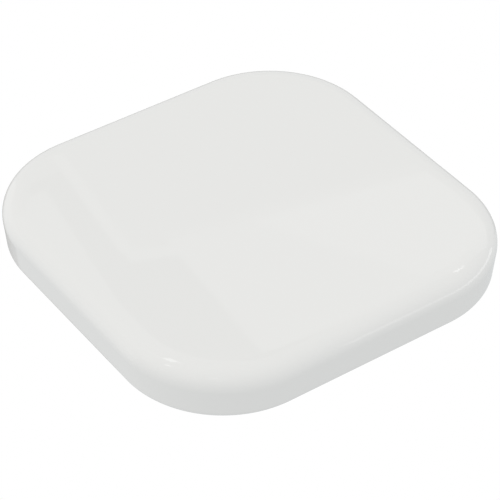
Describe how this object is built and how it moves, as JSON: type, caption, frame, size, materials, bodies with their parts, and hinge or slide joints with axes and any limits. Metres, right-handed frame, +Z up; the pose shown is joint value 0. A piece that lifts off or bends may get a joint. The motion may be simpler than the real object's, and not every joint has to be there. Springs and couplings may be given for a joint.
{
  "type": "wireless charging pad",
  "caption": "Glossy white square charging pad with broad round corners, a rear socket and light, a silicone foot ring, and the coil and board inside.",
  "frame": {"origin": "on the table, under the middle of the pad", "axes": "+Z up out of the charging face, +Y to the rear, where the socket and the status light are, +X to the right seen from the front"},
  "size_m": [0.09, 0.09, 0.012],
  "materials": {
    "housing_plastic": "polished white moulding",
    "cover_plastic": "fine spark texture, white",
    "foot_silicone": "matt, light grey",
    "screw_steel": "zinc plated",
    "pipe_clear": "clear moulded acrylic, lightly frosted face",
    "socket_steel": "nickel plated sheet",
    "black_moulding": "glass-filled moulding",
    "contact_gold": "gold plated",
    "board_laminate": "green solder mask on glass-epoxy laminate",
    "capacitor_ceramic": "ceramic with tinned ends",
    "led_body": "white moulding",
    "solder": "bright tin",
    "tape": "thin double-sided tissue tape",
    "coil_copper": "copper litz under a clear nylon serving",
    "ferrite": "sintered ferrite under a dull film"
  },
  "bodies": {
    "root": {"top_housing": "housing_plastic", "bottom_cover": "cover_plastic", "foot_ring": "foot_silicone", "cover_screw_1": "screw_steel", "cover_screw_2": "screw_steel", "cover_screw_3": "screw_steel", "cover_screw_4": "screw_steel", "light_pipe": "pipe_clear", "socket_shell": "socket_steel", "socket_insulator": "black_moulding", "controller_chip": "black_moulding", "driver_chip_1": "black_moulding", "driver_chip_2": "black_moulding", "regulator_chip": "black_moulding", "sense_resistor": "black_moulding", "coil_thermistor": "black_moulding", "divider_resistor_1": "black_moulding", "divider_resistor_2": "black_moulding", "divider_resistor_3": "black_moulding", "divider_resistor_4": "black_moulding", "socket_contact_1": "contact_gold", "socket_contact_2": "contact_gold", "socket_contact_3": "contact_gold", "socket_contact_4": "contact_gold", "socket_contact_5": "contact_gold", "socket_contact_6": "contact_gold", "main_board": "board_laminate", "resonance_capacitor_1": "capacitor_ceramic", "resonance_capacitor_2": "capacitor_ceramic", "resonance_capacitor_3": "capacitor_ceramic", "resonance_capacitor_4": "capacitor_ceramic", "input_capacitor_1": "capacitor_ceramic", "input_capacitor_2": "capacitor_ceramic", "bypass_capacitor_1": "capacitor_ceramic", "bypass_capacitor_2": "capacitor_ceramic", "bypass_capacitor_3": "capacitor_ceramic", "bypass_capacitor_4": "capacitor_ceramic", "status_led": "led_body", "coil_solder_1": "solder", "coil_solder_2": "solder", "roof_tape": "tape", "ferrite_tape": "tape", "transmitter_coil": "coil_copper", "ferrite_disc": "ferrite"}
  },
  "joints": []
}
